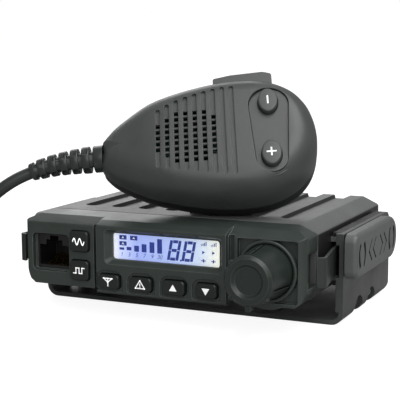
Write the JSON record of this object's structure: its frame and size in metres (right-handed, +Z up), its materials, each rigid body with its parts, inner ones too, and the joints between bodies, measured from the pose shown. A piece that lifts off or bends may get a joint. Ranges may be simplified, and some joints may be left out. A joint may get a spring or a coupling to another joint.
{
  "type": "mobile transceiver",
  "caption": "Compact two-way mobile radio with lit display, keys and volume knob in a quick-release U bracket, with a corded palm microphone on its hanger.",
  "frame": {"origin": "centre of the bracket's bolt pattern, on the underside of its base", "axes": "+X to the right as seen from the front, +Y from the front panel to the rear, +Z up"},
  "size_m": [0.2209, 0.1095, 0.0815],
  "materials": {
    "bracket_steel": "satin black powder coat",
    "rail_plastic": "moulded black plastic",
    "cover_plastic": "fine moulded grain",
    "lever_steel": "black oxide",
    "case_metal": "fine textured dark grey paint",
    "bezel_plastic": "satin moulded black-green plastic",
    "knob_plastic": "soft satin black",
    "key_rubber": "matte silicone",
    "window": "clear acrylic",
    "display": "lit liquid crystal display",
    "light_guide": "diffuse light guide",
    "circuit_board": "green solder mask",
    "chips": "moulded epoxy",
    "socket_plastic": "moulded black",
    "brass": "gold plated",
    "nickel": "bright nickel",
    "insulator": "white PTFE",
    "steel": "zinc plated",
    "mic_grey": "fine spark-eroded grain",
    "mic_black": "fine grain, black",
    "cord_rubber": "satin PVC",
    "tie_fabric": "woven hook-and-loop strap",
    "clear_plastic": "clear polycarbonate"
  },
  "bodies": {
    "bracket": {"bracket": "bracket_steel", "guide_rail_left": "rail_plastic", "guide_rail_right": "rail_plastic", "bracket_cover_left": "cover_plastic", "bracket_cover_right": "cover_plastic", "cover_rivets": "steel"},
    "radio": {"chassis": "case_metal", "bottom_cover": "bracket_steel", "bottom_screws": "steel", "front_bezel": "bezel_plastic", "lcd_window": "window", "lcd_panel": "display", "lcd_backlight": "light_guide", "keypad_mat": "key_rubber", "front_board": "circuit_board", "mic_socket": "socket_plastic", "mic_socket_contacts": "brass", "knob_ring": "bezel_plastic", "volume_control": "steel", "main_board": "circuit_board", "board_parts": "chips", "shield_can": "steel", "power_transistors": "chips", "speaker": "chips", "antenna_socket": "nickel", "antenna_insulator": "insulator", "antenna_contact": "brass", "speaker_jack": "nickel", "power_inlet": "socket_plastic", "power_pins": "brass", "lever_pins": "steel", "lever_springs": "steel", "mic_hanger": "bracket_steel", "hanger_screws": "steel"},
    "knob": {"volume_knob": "knob_plastic", "control_shaft": "steel"},
    "waveform_button": {"waveform_button": "key_rubber"},
    "squelch_button": {"squelch_button": "key_rubber"},
    "gain_button": {"gain_button": "key_rubber"},
    "emergency_button": {"emergency_button": "key_rubber"},
    "channel_up_button": {"channel_up_button": "key_rubber"},
    "channel_down_button": {"channel_down_button": "key_rubber"},
    "left_lever": {"release_lever_left": "lever_steel"},
    "right_lever": {"release_lever_right": "lever_steel"},
    "microphone": {"mic_front_shell": "mic_grey", "mic_back_shell": "mic_black", "mic_key_plate": "mic_grey", "mic_board": "circuit_board", "mic_switches": "chips", "mic_capsule": "chips", "mic_screws": "steel", "hang_button": "nickel", "strain_relief": "cord_rubber", "mic_cord": "cord_rubber", "mic_cord_coil": "cord_rubber", "cord_tie": "tie_fabric", "mic_plug": "clear_plastic"},
    "minus_key": {"mic_minus_button": "mic_grey"},
    "plus_key": {"mic_plus_button": "mic_grey"},
    "talk_bar": {"ptt_button": "mic_grey"}
  },
  "joints": [
    {"name": "radio_slide", "type": "slide", "parent": "bracket", "child": "radio", "axis": [0, -1, 0], "range_m": [0, 0.06]},
    {"name": "volume_turn", "type": "hinge", "parent": "radio", "child": "knob", "pos_m": [0.0382, -0.055, 0.0208], "axis": [0, 1, 0], "range_deg": [0, 300]},
    {"name": "waveform_button_press", "type": "slide", "parent": "radio", "child": "waveform_button", "axis": [0, 1, 0], "range_m": [0, 0.0006], "stiffness_N_per_m": 900, "springref_m": -0.0003},
    {"name": "squelch_button_press", "type": "slide", "parent": "radio", "child": "squelch_button", "axis": [0, 1, 0], "range_m": [0, 0.0006], "stiffness_N_per_m": 900, "springref_m": -0.0003},
    {"name": "gain_button_press", "type": "slide", "parent": "radio", "child": "gain_button", "axis": [0, 1, 0], "range_m": [0, 0.0006], "stiffness_N_per_m": 900, "springref_m": -0.0003},
    {"name": "emergency_button_press", "type": "slide", "parent": "radio", "child": "emergency_button", "axis": [0, 1, 0], "range_m": [0, 0.0006], "stiffness_N_per_m": 900, "springref_m": -0.0003},
    {"name": "channel_up_button_press", "type": "slide", "parent": "radio", "child": "channel_up_button", "axis": [0, 1, 0], "range_m": [0, 0.0006], "stiffness_N_per_m": 900, "springref_m": -0.0003},
    {"name": "channel_down_button_press", "type": "slide", "parent": "radio", "child": "channel_down_button", "axis": [0, 1, 0], "range_m": [0, 0.0006], "stiffness_N_per_m": 900, "springref_m": -0.0003},
    {"name": "left_lever_squeeze", "type": "hinge", "parent": "radio", "child": "left_lever", "pos_m": [-0.0523, -0.008, 0.021], "axis": [0, 0, 1], "range_deg": [0, 3.5], "stiffness_Nm_per_rad": 0.8, "springref_deg": -1.15},
    {"name": "right_lever_squeeze", "type": "hinge", "parent": "radio", "child": "right_lever", "pos_m": [0.0523, -0.008, 0.021], "axis": [0, 0, -1], "range_deg": [0, 3.5], "stiffness_Nm_per_rad": 0.8, "springref_deg": -1.15},
    {"name": "mic_lift", "type": "slide", "parent": "radio", "child": "microphone", "axis": [-0.1945, 0.5985, 0.7771], "range_m": [0, 0.012]},
    {"name": "mic_minus_press", "type": "slide", "parent": "microphone", "child": "minus_key", "axis": [-0.2402, 0.7391, -0.6293], "range_m": [0, 0.0008], "stiffness_N_per_m": 700, "springref_m": -0.0004},
    {"name": "mic_plus_press", "type": "slide", "parent": "microphone", "child": "plus_key", "axis": [-0.2402, 0.7391, -0.6293], "range_m": [0, 0.0008], "stiffness_N_per_m": 700, "springref_m": -0.0004},
    {"name": "talk_press", "type": "slide", "parent": "microphone", "child": "talk_bar", "axis": [0.2928, -0.5629, -0.7729], "range_m": [0, 0.0012], "stiffness_N_per_m": 900, "springref_m": -0.0006}
  ]
}
